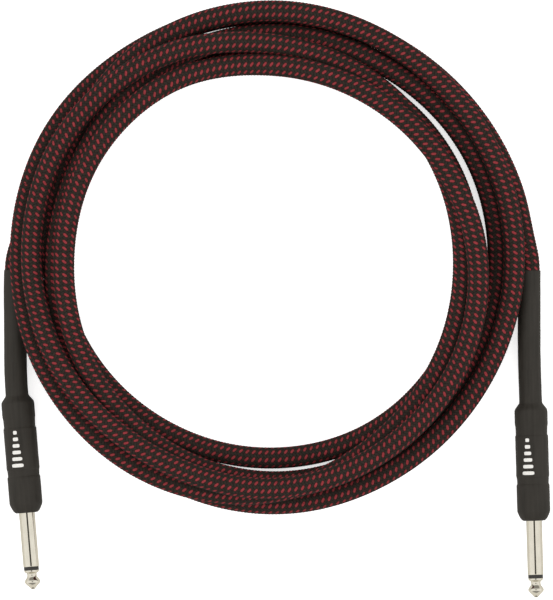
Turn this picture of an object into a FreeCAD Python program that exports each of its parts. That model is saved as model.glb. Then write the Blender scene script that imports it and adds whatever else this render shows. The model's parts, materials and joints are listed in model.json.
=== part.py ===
"""Instrument cable, 3 m class, coiled flat, with a straight 6.35 mm mono plug on each end.

Millimetres, +Z up.  The cable rests on the plane Z = 0 and the origin is the middle of its footprint.
A plug's own parts are drawn along local +X: X = 0 is where the grip's shoulder leaves the cable.
"""
import FreeCAD, Part
import Sketcher
import math
import os

V = FreeCAD.Vector
DOC = FreeCAD.newDocument("instrument_cable")

# ------------------------------------------------------------------ driving dimensions

SIZES = {
    # cable layers
    "cable_od": 8.6,
    "pvc_od": 7.2,
    "shield_od": 5.0,
    "film_od": 3.9,
    "core_od": 3.2,
    "conductor_od": 1.2,
    "layer_gap": 0.05,
    # coil
    "coil_centre_x": -0.8,
    "coil_centre_y": 16.5,
    "lay_gap": 0.15,
    "left_lead_x": -104.9,
    "right_lead_x": 101.9,
    "sleeve_rear_y": 11.5,
    "left_bend_y": -14.0,
    "right_bend_y": -17.0,
    # strain relief sleeve and grip, along the plug from the shoulder
    "sleeve_od": 9.2,
    "grip_od": 13.3,
    "shoulder_end": 2.4,
    "shoulder_od": 13.1,
    "shoulder_top": 3.4,
    "groove_od": 12.85,
    "groove_slope": 1.0,
    "rear_groove_start": 8.4,
    "rear_groove_length": 5.0,
    "front_groove_start": 29.2,
    "front_groove_length": 3.8,
    "chamfer_start": 43.6,
    "chamfer_end": 46.3,
    "chamfer_end_od": 10.8,
    "grip_end": 47.2,
    "front_face_od": 8.8,
    "front_wall": 0.5,
    "front_pocket_od": 8.2,
    "mouth_od": 7.6,
    "cover_wall": 0.6,
    "cover_throat": 0.6,
    "shell_start": 1.7,
    "shell_rear_od": 9.8,
    "shell_shoulder": 3.35,
    "shell_end": 44.8,
    "shell_chamfer": 0.8,
    "shell_front_od": 10.9,
    "shell_bore": 10.6,
    "shell_bore_start": 4.2,
    "liner_start": 5.0,
    "liner_end": 37.5,
    "liner_wall": 0.25,
    # plug
    "plug_od": 6.35,
    "collar_start": 38.0,
    "collar_od": 10.5,
    "collar_front": 45.1,
    "collar_nose": 46.5,
    "collar_nose_od": 7.9,
    "spigot_start": 36.5,
    "spigot_od": 8.0,
    "barrel_end": 69.0,
    "ring_od": 6.0,
    "ring_end": 70.35,
    "rod_od": 2.2,
    "tube_od": 3.4,
    "washer_od": 7.2,
    "washer_thickness": 0.8,
    # tip contact, from its plate to its nose
    "plate_od": 5.9,
    "plate_end": 71.1,
    "neck_start": 71.65,
    "neck_od": 3.9,
    "neck_end": 73.25,
    "flare_start": 74.8,
    "flare_end": 75.1,
    "flare_od": 6.3,
    "cone_end": 77.4,
    "cone_end_od": 2.0,
    "nose_start": 77.95,
    "nose_od": 1.1,
    "tip_end": 78.15,
    "rivet_od": 3.2,
    "rivet_height": 0.35,
    # lugs and the solder on them
    "lug_thickness": 0.8,
    "ground_ring_od": 8.7,
    "ground_ring_bore": 3.6,
    "arm_under": 3.8,
    "arm_thickness": 0.5,
    "arm_width": 3.4,
    "claw_start": 10.0,
    "claw_length": 6.0,
    "claw_od": 8.8,
    "claw_bore": 7.3,
    "claw_sweep": 280,
    "tip_ring_od": 5.0,
    "tip_ring_bore": 2.3,
    "tongue_top": -0.65,
    "tongue_foot": -1.8,
    "tongue_thickness": 0.6,
    "tongue_width": 2.4,
    "tongue_start": 26.5,
    "tongue_foot_length": 1.4,
    "tongue_crank": 1.0,
    "tail_od": 1.0,
    "tail_start": 16.5,
    "tail_start_up": 2.52,
    "tail_end": 24.0,
    "tail_end_up": 3.25,
    "solder_od": 2.3,
    "ground_solder_at": 23.6,
    "ground_solder_up": 3.1,
    "tip_solder_at": 29.0,
    "tip_solder_up": -0.1,
    # stripped cable end, measured from the shoulder
    "cable_entry": -1.0,
    "braid_end": 8.0,
    "pvc_end": 16.4,
    "shield_end": 17.0,
    "film_end": 18.5,
    "core_end": 26.0,
    "conductor_end": 30.5,
    # plug tips in the row's plan, and how far each plug turns in from straight back
    "left_tip_x": -97.7,
    "left_tip_y": -116.8,
    "left_turn": 4.74,
    "right_tip_x": 104.7,
    "right_tip_y": -120.1,
    "right_turn": 1.64,
}

# The lay of the coil: the radius of every turn at each 30 degrees, clockwise from 12 o'clock.
# The first row is the left lead coming in from 9 o'clock, the last is the right lead leaving.
TURN_RADII = (
    (103.0, 92.9, 84.0),
    (80.4, 79.6, 79.5, 79.6, 80.0, 80.4, 80.5, 82.1, 85.4, 89.4, 93.7, 98.5),
    (99.2, 97.6, 96.7, 96.5, 96.5, 97.5, 98.9, 97.6, 93.1, 87.8, 86.4, 89.2),
    (90.0, 89.2, 90.2, 90.2, 89.8, 89.6, 90.05, 88.8, 86.7, 84.1, 83.4, 81.5),
    (77.1, 75.8, 77.4, 81.6, 85.6, 89.0, 92.3, 92.9, 95.7, 97.1, 96.8, 92.6),
    (85.5, 80.7, 77.0, 76.1, 79.0, 85.0, 94.0, 99.7, 101.8, 101.9, 101.9, 99.5),
    (98.4, 97.8, 98.9, 101.2),
)
RADIUS_STEP = 30
FULL_TURN = 360

# Which turn lies on which, from the table up, as far round as the angle that comes first.
STACKS = (
    (57, (6, 1, 3, 5, 4, 2)),
    (180, (6, 1, 3, 2, 5, 4)),
    (280, (0, 1, 2, 3, 5, 4)),
    (FULL_TURN, (0, 5, 1, 2, 4, 3)),
)

# Running angles in degrees: where the left lead ends and where the right one begins.
COIL_START = 268
COIL_END = 6 * FULL_TURN + 94
# How far the leads count when the turns settle, and the steps that heights and points are taken at.
LEAD_REACH = 24
LAY_STEP = 2
NODE_STEP = 8
# The cable's stiffness as a number of lay steps, and how often the lay is gone over.
STIFF_SPAN = 8
LAY_PASSES = 30
# Pieces a lead and a bend are divided into.
STRETCHES = 4
SIDES = ("left", "right")


def make_sheet():
    sheet = DOC.addObject("Spreadsheet::Sheet", "Sizes")
    for row, (name, value) in enumerate(SIZES.items(), start=1):
        sheet.set("A%d" % row, name)
        sheet.set("B%d" % row, str(value))
        sheet.setAlias("B%d" % row, name)
    DOC.recompute()
    return sheet


SHEET = make_sheet()
SUB_PARTS = {}


def size(name):
    return float(getattr(SHEET, name))


def cell(name):
    return "Sizes." + name


def keep(obj, label, placement=None):
    """Give a finished sub-part its label and its place."""
    obj.Label = label
    if placement is not None:
        obj.Placement = placement
    SUB_PARTS[label] = obj
    return obj


# ------------------------------------------------------------------ plan of the coil


def smooth_radius(phi):
    """Radius of the lay at the running angle phi, a smooth curve through TURN_RADII."""
    radii = [r for turn in TURN_RADII for r in turn]
    first = FULL_TURN - RADIUS_STEP * len(TURN_RADII[0])
    place = (phi - first) / RADIUS_STEP
    i = max(0, min(int(place), len(radii) - 2))
    f = place - i
    r1 = radii[i]
    r2 = radii[i + 1]
    r0 = radii[i - 1] if i > 0 else 2 * r1 - r2
    r3 = radii[i + 2] if i + 2 < len(radii) else 2 * r2 - r1
    slope = r2 - r0
    bend = 2 * r0 - 5 * r1 + 4 * r2 - r3
    jerk = 3 * (r1 - r2) + r3 - r0
    return r1 + 0.5 * f * (slope + f * (bend + f * jerk))


def is_lead(phi):
    return phi < COIL_START or phi > COIL_END


def plan_radius(phi):
    """Radius at phi, where the straight leads at both ends count as well."""
    if not is_lead(phi):
        return smooth_radius(phi)
    lead_x = size("left_lead_x") if phi < COIL_START else size("right_lead_x")
    return abs((lead_x - size("coil_centre_x")) / math.sin(math.radians(phi)))


def stack_at(theta):
    for end, turns in STACKS:
        if theta < end:
            return turns
    return STACKS[-1][1]


def rest_on_those_below(phis, radii, girths, heights):
    """The height each point needs so that it clears every turn beneath it."""
    where = {phi: i for i, phi in enumerate(phis)}
    needed = list(girths)
    for theta in range(0, FULL_TURN, LAY_STEP):
        passes = [theta + FULL_TURN * turn for turn in stack_at(theta)]
        here = [where[phi] for phi in passes if phi in where]
        for level, upper in enumerate(here):
            for lower in here[:level]:
                contact = girths[upper] + girths[lower] + size("lay_gap")
                apart = abs(radii[upper] - radii[lower])
                if apart < contact:
                    rise = math.sqrt(contact**2 - apart**2)
                    needed[upper] = max(needed[upper], heights[lower] + rise)
    return needed


def over_span(heights, reach, choose):
    """Replace each height by what choose makes of it and its neighbours within reach."""
    return [choose(heights[max(0, i - reach) : i + reach + 1]) for i in range(len(heights))]


def average(values):
    return sum(values) / len(values)


def stiffen(heights):
    """A stiff cable ramps up to what it climbs over: widen each rise, then round it twice."""
    wide = over_span(heights, STIFF_SPAN, max)
    rounded = over_span(wide, STIFF_SPAN // 2, average)
    return over_span(rounded, STIFF_SPAN // 2, average)


def lay_heights(phis, radii):
    """Let the turns settle on each other until nothing moves."""
    cable = size("cable_od") / 2
    sleeve = size("sleeve_od") / 2
    girths = [sleeve if is_lead(phi) else cable for phi in phis]
    heights = list(girths)
    for _ in range(LAY_PASSES):
        heights = stiffen(rest_on_those_below(phis, radii, girths, heights))
    return heights


def coil_nodes():
    """Points of the centreline round the coil, from the left sleeve's end to the right one's."""
    phis = list(range(COIL_START - LEAD_REACH, COIL_END + LEAD_REACH + 1, LAY_STEP))
    radii = [plan_radius(phi) for phi in phis]
    heights = lay_heights(phis, radii)
    height_at = dict(zip(phis, heights))
    nodes = []
    for phi in range(COIL_START + NODE_STEP, COIL_END - LAY_STEP, NODE_STEP):
        turn = math.radians(phi)
        x = size("coil_centre_x") + plan_radius(phi) * math.sin(turn)
        y = size("coil_centre_y") + plan_radius(phi) * math.cos(turn)
        nodes.append(V(x, y, height_at[phi]))
    return nodes


def lead_nodes(side):
    """Points along a straight lead, from where the bend begins back to the sleeve's rear end."""
    lead_x = size(side + "_lead_x")
    start = size(side + "_bend_y")
    length = size("sleeve_rear_y") - start
    height = size("sleeve_od") / 2
    return [V(lead_x, start + length * i / STRETCHES, height) for i in range(STRETCHES + 1)]


# ------------------------------------------------------------------ chains of tangent arcs


def arc_from(start, tangent, end):
    """The arc that leaves start along tangent and reaches end."""
    chord = end - start
    along = V(chord).normalize()
    side = tangent - along * tangent.dot(along)
    if side.Length < 1e-7:
        return Part.LineSegment(start, end)
    turn = math.asin(min(1.0, side.Length))
    sagitta = chord.Length / 2 * math.tan(turn / 2)
    middle = (start + end) * 0.5 + V(side).normalize() * sagitta
    return Part.Arc(start, middle, end)


def arc_pair(start, start_tangent, end, end_tangent):
    """Two arcs that join both points smoothly."""
    chord = end - start
    a = 2 * (1 - start_tangent.dot(end_tangent))
    b = 2 * chord.dot(start_tangent + end_tangent)
    c = -chord.dot(chord)
    if a < 1e-10:
        reach = -c / b
    else:
        reach = (math.sqrt(b * b - 4 * a * c) - b) / (2 * a)
    middle = (start + end + (start_tangent - end_tangent) * reach) * 0.5
    back = arc_from(end, end_tangent * -1, middle)
    back.reverse()
    return [arc_from(start, start_tangent, middle), back]


def arc_chain(nodes, tangents):
    """A list of tangent arcs, two for each step from node to node."""
    arcs = []
    for i in range(len(nodes) - 1):
        arcs += arc_pair(nodes[i], tangents[i], nodes[i + 1], tangents[i + 1])
    return arcs


def smooth_tangents(nodes, first, last):
    curve = Part.BSplineCurve()
    curve.interpolate(Points=nodes, InitialTangent=first, FinalTangent=last)
    inner = [curve.tangent(curve.parameter(node))[0] for node in nodes[1:-1]]
    return [first] + inner + [last]


def spine(name, arcs):
    path = DOC.addObject("Part::Feature", name)
    path.Shape = Part.Wire([arc.toShape() for arc in arcs])
    return path


# ------------------------------------------------------------------ where each plug lies


def plug_direction(side):
    turn = math.radians(size(side + "_turn"))
    return V(math.sin(turn), -math.cos(turn), 0)


def plug_origin(side):
    tip = V(size(side + "_tip_x"), size(side + "_tip_y"), size("grip_od") / 2)
    return tip - plug_direction(side) * size("tip_end")


def plug_placement(side):
    return FreeCAD.Placement(plug_origin(side), FreeCAD.Rotation(V(1, 0, 0), plug_direction(side)))


def bend_arcs(side):
    """Centreline of the bending stretch, from the lead to where the grip begins."""
    start = lead_nodes(side)[0]
    away = V(0, -1, 0)
    toward = plug_direction(side)
    end = plug_origin(side) + toward * size("cable_entry")
    reach = (end - start).Length / 3
    poles = [start, start + away * reach, end - toward * reach, end]
    curve = Part.BezierCurve()
    curve.setPoles(poles)
    shares = [i / STRETCHES for i in range(STRETCHES + 1)]
    nodes = [curve.value(share) for share in shares]
    tangents = [V(curve.tangent(share)[0]).normalize() for share in shares]
    return arc_chain(nodes, tangents)


# ------------------------------------------------------------------ shape makers

ORIGIN_POINT = (-1, 1)
START = 1
END = 2
CENTRE = 3
AXIS_X = -1
AXIS_Y = -2


def value_of(expression):
    return float(SHEET.evalExpression(expression.replace("Sizes.", "")))


def constrain(sketch, expression, kind, *ends):
    """Add a driving dimension and bind it to the sheet."""
    number = sketch.addConstraint(Sketcher.Constraint(kind, *ends, value_of(expression)))
    sketch.setExpression("Constraints[%d]" % number, expression)


def pipe(label, path, outer, inner=None):
    """A tube, or a rod if it has no inner diameter, drawn along a path."""
    body = DOC.addObject("PartDesign::Body", "Body_" + label)
    sketch = body.newObject("Sketcher::SketchObject", "Profile_" + label)
    edge = path.Shape.Edges[0]
    start = edge.valueAt(edge.FirstParameter)
    tangent = edge.tangentAt(edge.FirstParameter)
    sketch.Placement = FreeCAD.Placement(start, FreeCAD.Rotation(V(0, 0, 1), tangent))
    for diameter in (outer, inner):
        if diameter is not None:
            circle = sketch.addGeometry(Part.Circle(V(0, 0, 0), V(0, 0, 1), value_of(diameter) / 2))
            sketch.addConstraint(Sketcher.Constraint("Coincident", circle, CENTRE, *ORIGIN_POINT))
            constrain(sketch, diameter, "Diameter", circle)
    sweep = body.newObject("PartDesign::AdditivePipe", "Pipe_" + label)
    sweep.Profile = sketch
    sweep.Spine = (path, ["Edge%d" % (i + 1) for i in range(len(path.Shape.Edges))])
    return keep(body, label)


def origin_plane(body, role):
    return next(f for f in body.Origin.OriginFeatures if f.Role == role)


def outline_sketch(body, name, plane, points):
    """A closed outline of straight sides whose corners are bound to the sheet."""
    sketch = body.newObject("Sketcher::SketchObject", name)
    sketch.AttachmentSupport = [(origin_plane(body, plane), "")]
    sketch.MapMode = "FlatFace"
    corners = [V(value_of(x), value_of(y), 0) for x, y in points]
    count = len(corners)
    sides = [Part.LineSegment(corners[i], corners[(i + 1) % count]) for i in range(count)]
    lines = sketch.addGeometry(sides)
    for i, line in enumerate(lines):
        following = lines[(i + 1) % count]
        sketch.addConstraint(Sketcher.Constraint("Coincident", line, END, following, START))
    for line, corner, (x, y) in zip(lines, corners, points):
        if abs(corner.x) < 1e-9:
            sketch.addConstraint(Sketcher.Constraint("PointOnObject", line, START, AXIS_Y))
        else:
            constrain(sketch, x, "DistanceX", *ORIGIN_POINT, line, START)
        if abs(corner.y) < 1e-9:
            sketch.addConstraint(Sketcher.Constraint("PointOnObject", line, START, AXIS_X))
        else:
            constrain(sketch, y, "DistanceY", *ORIGIN_POINT, line, START)
    return sketch


def lathe(label, placement, points):
    """A turned piece: an outline of (along, radius) pairs spun about local X."""
    body = DOC.addObject("PartDesign::Body", "Body_" + label)
    sketch = outline_sketch(body, "Outline_" + label, "XY_Plane", points)
    turned = body.newObject("PartDesign::Revolution", "Turned_" + label)
    turned.Profile = sketch
    turned.ReferenceAxis = (sketch, ["H_Axis"])
    turned.Angle = FULL_TURN
    return keep(body, label, placement)


def lathe_ring(label, placement, start, end, outer, inner):
    """A plain ring or tube: two ends and two diameters."""
    inside = "(%s) / 2" % inner
    outside = "(%s) / 2" % outer
    points = ((start, inside), (end, inside), (end, outside), (start, outside))
    return lathe(label, placement, points)


def bent_strip(name, points, width):
    """Sheet metal seen from the side, as (along, up) pairs, with the given width."""
    body = DOC.addObject("PartDesign::Body", "Strip_" + name)
    sketch = outline_sketch(body, "Side_" + name, "XZ_Plane", points)
    pad = body.newObject("PartDesign::Pad", "Pad_" + name)
    pad.Profile = sketch
    pad.setExpression("Length", width)
    pad.Midplane = True
    return body


def hollow_disc(name, start, thickness, outer, inner, sweep=None):
    """A washer shape about local X; with a sweep it is open at the bottom."""
    lie_down = FreeCAD.Rotation(V(0, 0, 1), V(1, 0, 0))
    parts = []
    for role, diameter in (("Outer", outer), ("Hole", inner)):
        cylinder = DOC.addObject("Part::Cylinder", role + "_" + name)
        cylinder.Placement = FreeCAD.Placement(V(0, 0, 0), lie_down)
        cylinder.setExpression("Placement.Base.x", start)
        cylinder.setExpression("Radius", "(%s) / 2" % diameter)
        cylinder.setExpression("Height", thickness)
        parts.append(cylinder)
    if sweep is not None:
        half_open = FreeCAD.Rotation(V(1, 0, 0), (FULL_TURN - value_of(sweep)) / 2)
        parts[0].Placement.Rotation = half_open * lie_down
        parts[0].setExpression("Angle", sweep)
    disc = DOC.addObject("Part::Cut", "Disc_" + name)
    disc.Base, disc.Tool = parts
    return disc


def joined(label, placement, shapes):
    fuse = DOC.addObject("Part::MultiFuse", "Join_" + label)
    fuse.Shapes = shapes
    return keep(fuse, label, placement)


# ------------------------------------------------------------------ the cable

LAYERS = (
    # name, outer diameter, inner diameter
    ("woven_jacket", "Sizes.cable_od", "Sizes.pvc_od + 2 * Sizes.layer_gap"),
    ("pvc_jacket", "Sizes.pvc_od", "Sizes.shield_od + 2 * Sizes.layer_gap"),
    ("copper_shield", "Sizes.shield_od", "Sizes.film_od + 2 * Sizes.layer_gap"),
    ("conductive_film", "Sizes.film_od", "Sizes.core_od + 2 * Sizes.layer_gap"),
    ("core_insulation", "Sizes.core_od", "Sizes.conductor_od + 2 * Sizes.layer_gap"),
    ("centre_conductor", "Sizes.conductor_od", None),
)
SLEEVE = ("shrink_sleeve", "Sizes.sleeve_od", "Sizes.cable_od + 2 * Sizes.layer_gap")
LAYER_ENDS = {
    "woven_jacket": "braid_end",
    "pvc_jacket": "pvc_end",
    "conductive_film": "film_end",
    "core_insulation": "core_end",
    "centre_conductor": "conductor_end",
}


def make_coil():
    """The coiled cable, layer by layer, and the sleeve over each of its leads."""
    left = lead_nodes("left")
    right = lead_nodes("right")
    nodes = left + coil_nodes() + right[::-1]
    tangents = smooth_tangents(nodes, V(0, 1, 0), V(0, -1, 0))
    for i in range(len(left)):
        tangents[i] = V(0, 1, 0)
        tangents[-1 - i] = V(0, -1, 0)
    arcs = arc_chain(nodes, tangents)
    path = spine("Centreline", arcs)
    for name, outer, inner in LAYERS:
        pipe(name, path, outer, inner)
    lead_arcs = 2 * (len(left) - 1)
    straight = {"left": arcs[:lead_arcs], "right": arcs[-lead_arcs:]}
    for side in SIDES:
        pipe(side + "_sleeve_tail", spine("Lead_" + side, straight[side]), SLEEVE[1], SLEEVE[2])


def make_bend(side):
    """The stretch of sleeve and cable that bends behind a grip."""
    path = spine("Bend_" + side, bend_arcs(side))
    for name, outer, inner in (SLEEVE,) + LAYERS:
        pipe("%s_bend_%s" % (side, name), path, outer, inner)


def make_layer_ends(side, place):
    """The stripped cable inside the grip, each layer cut back further than the last."""
    for name, outer, inner in LAYERS:
        if name in LAYER_ENDS:
            inner = inner or "0 * Sizes.conductor_od"
            end = cell(LAYER_ENDS[name])
            lathe_ring("%s_%s_end" % (side, name), place, cell("cable_entry"), end, outer, inner)


def make_shield_end(side, place):
    """The shield inside the grip, gathered into a tail that reaches the ground lug."""
    name, outer, inner = LAYERS[2]
    tube = lathe_ring("Tube_" + side, None, cell("cable_entry"), cell("shield_end"), outer, inner)
    SUB_PARTS.pop(tube.Label)
    start = V(size("tail_start"), 0, size("tail_start_up"))
    reach = V(size("tail_end"), 0, size("tail_end_up")) - start
    tail = DOC.addObject("Part::Cylinder", "Tail_" + side)
    tail.setExpression("Radius", "Sizes.tail_od / 2")
    tail.Height = reach.Length
    tail.Placement = FreeCAD.Placement(start, FreeCAD.Rotation(V(0, 0, 1), reach))
    joined("%s_%s_end" % (side, name), place, [tube, tail])


# ------------------------------------------------------------------ the grip and the plug


def groove(which):
    """The shallow groove where the cover has shrunk into a step of the shell."""
    start = "Sizes.%s_groove_start" % which
    end = "%s + Sizes.%s_groove_length" % (start, which)
    floor = "Sizes.groove_od / 2"
    rim = "Sizes.grip_od / 2"
    return (
        (start, rim),
        (start + " + Sizes.groove_slope", floor),
        (end + " - Sizes.groove_slope", floor),
        (end, rim),
    )


def make_grip(side, place):
    """The shrink cover, the metal shell under it and the paper liner."""
    throat = "Sizes.cable_od / 2 + Sizes.layer_gap"
    under = "Sizes.grip_od / 2 - Sizes.cover_wall"
    full = "Sizes.grip_od / 2"
    mouth = "Sizes.mouth_od / 2"
    front = "Sizes.front_face_od / 2"
    pocket = "Sizes.grip_end - Sizes.front_wall"
    cover = (
        ("Sizes.cable_entry", throat),
        ("Sizes.cable_entry", "Sizes.sleeve_od / 2"),
        ("0 * Sizes.grip_end", "Sizes.sleeve_od / 2"),
        ("Sizes.shoulder_end", "Sizes.shoulder_od / 2"),
        ("Sizes.shoulder_top", full),
        *groove("rear"),
        *groove("front"),
        ("Sizes.chamfer_start", full),
        ("Sizes.chamfer_end", "Sizes.chamfer_end_od / 2"),
        ("Sizes.grip_end", front),
        ("Sizes.grip_end", mouth),
        (pocket, mouth),
        (pocket, "Sizes.front_pocket_od / 2"),
        ("Sizes.collar_front + 2 * Sizes.layer_gap", "Sizes.collar_od / 2 + 2 * Sizes.layer_gap"),
        ("Sizes.shell_end + Sizes.layer_gap", "Sizes.shell_front_od / 2 + Sizes.layer_gap"),
        ("Sizes.shell_end - Sizes.shell_chamfer", under),
        ("Sizes.shoulder_top - Sizes.cover_wall", under),
        ("Sizes.cover_throat", throat),
    )
    lathe(side + "_grip_cover", place, cover)
    bore = "Sizes.shell_bore / 2"
    outside = under + " - Sizes.layer_gap"
    cable_hole = "Sizes.cable_od / 2 + 2 * Sizes.layer_gap"
    shell = (
        ("Sizes.shell_start", cable_hole),
        ("Sizes.shell_start", "Sizes.shell_rear_od / 2"),
        ("Sizes.shell_shoulder", outside),
        ("Sizes.shell_end - Sizes.shell_chamfer", outside),
        ("Sizes.shell_end", "Sizes.shell_front_od / 2"),
        ("Sizes.shell_end", bore),
        ("Sizes.shell_bore_start", bore),
        ("Sizes.shell_bore_start", cable_hole),
    )
    lathe(side + "_grip_shell", place, shell)
    outer = "Sizes.shell_bore - 2 * Sizes.layer_gap"
    inner = outer + " - 2 * Sizes.liner_wall"
    lathe_ring(side + "_grip_liner", place, cell("liner_start"), cell("liner_end"), outer, inner)


def make_barrel(side, place):
    """The plug's ground sleeve: a collar inside the grip and the barrel in front of it."""
    bore = "Sizes.tube_od / 2 + Sizes.layer_gap"
    points = (
        ("Sizes.spigot_start", bore),
        ("Sizes.spigot_start", "Sizes.spigot_od / 2"),
        ("Sizes.collar_start", "Sizes.spigot_od / 2"),
        ("Sizes.collar_start", "Sizes.collar_od / 2"),
        ("Sizes.collar_front", "Sizes.collar_od / 2"),
        ("Sizes.collar_nose", "Sizes.collar_nose_od / 2"),
        ("Sizes.collar_nose", "Sizes.plug_od / 2"),
        ("Sizes.barrel_end", "Sizes.plug_od / 2"),
        ("Sizes.barrel_end", bore),
    )
    lathe(side + "_plug_barrel", place, points)


def lug_back():
    """Where the tip lug starts: the two lugs, with the washer between them, sit behind the spigot."""
    return "Sizes.spigot_start - 2 * Sizes.lug_thickness - Sizes.washer_thickness"


def make_tip(side, place):
    """The tip contact and the long rod that carries it, riveted over behind the lug."""
    rod = "Sizes.rod_od / 2"
    rivet_front = lug_back() + " - Sizes.layer_gap"
    rivet_back = rivet_front + " - Sizes.rivet_height"
    points = (
        (rivet_back, "0 * Sizes.rod_od"),
        (rivet_back, "Sizes.rivet_od / 2"),
        (rivet_front, "Sizes.rivet_od / 2"),
        (rivet_front, rod),
        ("Sizes.ring_end", rod),
        ("Sizes.ring_end", "Sizes.plate_od / 2"),
        ("Sizes.plate_end", "Sizes.plate_od / 2"),
        ("Sizes.neck_start", "Sizes.neck_od / 2"),
        ("Sizes.neck_end", "Sizes.neck_od / 2"),
        ("Sizes.flare_start", "Sizes.flare_od / 2"),
        ("Sizes.flare_end", "Sizes.flare_od / 2"),
        ("Sizes.cone_end", "Sizes.cone_end_od / 2"),
        ("Sizes.nose_start", "Sizes.nose_od / 2"),
        ("Sizes.tip_end", "0 * Sizes.rod_od"),
    )
    lathe(side + "_plug_tip", place, points)


def make_insulators(side, place):
    """The black ring before the tip, the tube round the rod and the washer behind the ground lug."""
    hole = "Sizes.rod_od + 2 * Sizes.layer_gap"
    back = "Sizes.spigot_start - Sizes.lug_thickness"
    washer_back = back + " - Sizes.washer_thickness"
    lathe_ring(side + "_plug_ring", place, cell("barrel_end"), cell("ring_end"), cell("ring_od"), hole)
    lathe_ring(side + "_plug_tube", place, back, cell("barrel_end"), cell("tube_od"), hole)
    lathe_ring(side + "_plug_washer", place, washer_back, back, cell("washer_od"), hole)


def make_ground_lug(side, place):
    """One stamping: a ring behind the barrel, an arm along the top and a claw round the cable."""
    ring_ends = ("Sizes.spigot_start - Sizes.lug_thickness", cell("lug_thickness"))
    ring = hollow_disc("ring_" + side, *ring_ends, cell("ground_ring_od"), cell("ground_ring_bore"))
    claw_ends = (cell("claw_start"), cell("claw_length"))
    claw = hollow_disc("claw_" + side, *claw_ends, cell("claw_od"), cell("claw_bore"), cell("claw_sweep"))
    under = cell("arm_under")
    over = "Sizes.arm_under + Sizes.arm_thickness"
    ends = (cell("claw_start"), cell("spigot_start"))
    arm_points = ((ends[0], under), (ends[1], under), (ends[1], over), (ends[0], over))
    arm = bent_strip("ground_arm_" + side, arm_points, cell("arm_width"))
    joined(side + "_ground_lug", place, [ring, claw, arm])


def make_tip_lug(side, place):
    """The solder lug on the rod: a ring with a cranked tongue under the bare conductor."""
    ring_ends = (lug_back(), cell("lug_thickness"))
    ring = hollow_disc("tip_ring_" + side, *ring_ends, cell("tip_ring_od"), cell("tip_ring_bore"))
    front = lug_back() + " + Sizes.lug_thickness"
    foot_end = lug_back() + " - Sizes.tongue_foot_length"
    crank_end = foot_end + " - Sizes.tongue_crank"
    bevel = " - Sizes.tongue_thickness / 2"
    points = (
        (front, "Sizes.tongue_foot"),
        (foot_end, "Sizes.tongue_foot"),
        (crank_end, "Sizes.tongue_top"),
        ("Sizes.tongue_start", "Sizes.tongue_top"),
        ("Sizes.tongue_start", "Sizes.tongue_top - Sizes.tongue_thickness"),
        (crank_end + bevel, "Sizes.tongue_top - Sizes.tongue_thickness"),
        (foot_end + bevel, "Sizes.tongue_foot - Sizes.tongue_thickness"),
        (front, "Sizes.tongue_foot - Sizes.tongue_thickness"),
    )
    tongue = bent_strip("tip_tongue_" + side, points, cell("tongue_width"))
    joined(side + "_tip_lug", place, [ring, tongue])


def make_solder(label, side, place, around):
    """A blob of solder with the pieces it holds cut out of it."""
    centre = V(size(label + "_at"), 0, size(label + "_up"))
    blob = DOC.addObject("Part::Sphere", "Blob_" + side + "_" + label)
    blob.setExpression("Radius", "Sizes.solder_od / 2")
    blob.Placement = place * FreeCAD.Placement(centre, FreeCAD.Rotation())
    held = DOC.addObject("Part::MultiFuse", "Held_" + side + "_" + label)
    held.Shapes = [SUB_PARTS[side + "_" + name] for name in around]
    joint = DOC.addObject("Part::Cut", "Solder_" + side + "_" + label)
    joint.Base = blob
    joint.Tool = held
    keep(joint, side + "_" + label)


def make_plug(side):
    place = plug_placement(side)
    make_layer_ends(side, place)
    make_shield_end(side, place)
    make_grip(side, place)
    make_barrel(side, place)
    make_tip(side, place)
    make_insulators(side, place)
    make_ground_lug(side, place)
    make_tip_lug(side, place)
    DOC.recompute()
    make_solder("ground_solder", side, place, ("ground_lug", "copper_shield_end"))
    make_solder("tip_solder", side, place, ("tip_lug", "centre_conductor_end"))


# ------------------------------------------------------------------ build, check and write


def check_document():
    failed = [o.Name for o in DOC.Objects if "Invalid" in o.State or "Error" in o.State]
    if failed:
        raise RuntimeError("failed objects: " + ", ".join(failed))
    for label, obj in SUB_PARTS.items():
        if obj.Shape.isNull() or not obj.Shape.isValid() or len(obj.Shape.Solids) != 1:
            raise RuntimeError("bad shape: " + label)


def write_parts():
    os.makedirs("parts", exist_ok=True)
    for label, obj in SUB_PARTS.items():
        obj.Shape.exportStep("parts/" + label + ".step")


make_coil()
for side_name in SIDES:
    make_bend(side_name)
    make_plug(side_name)
DOC.recompute()
check_document()
write_parts()
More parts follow.
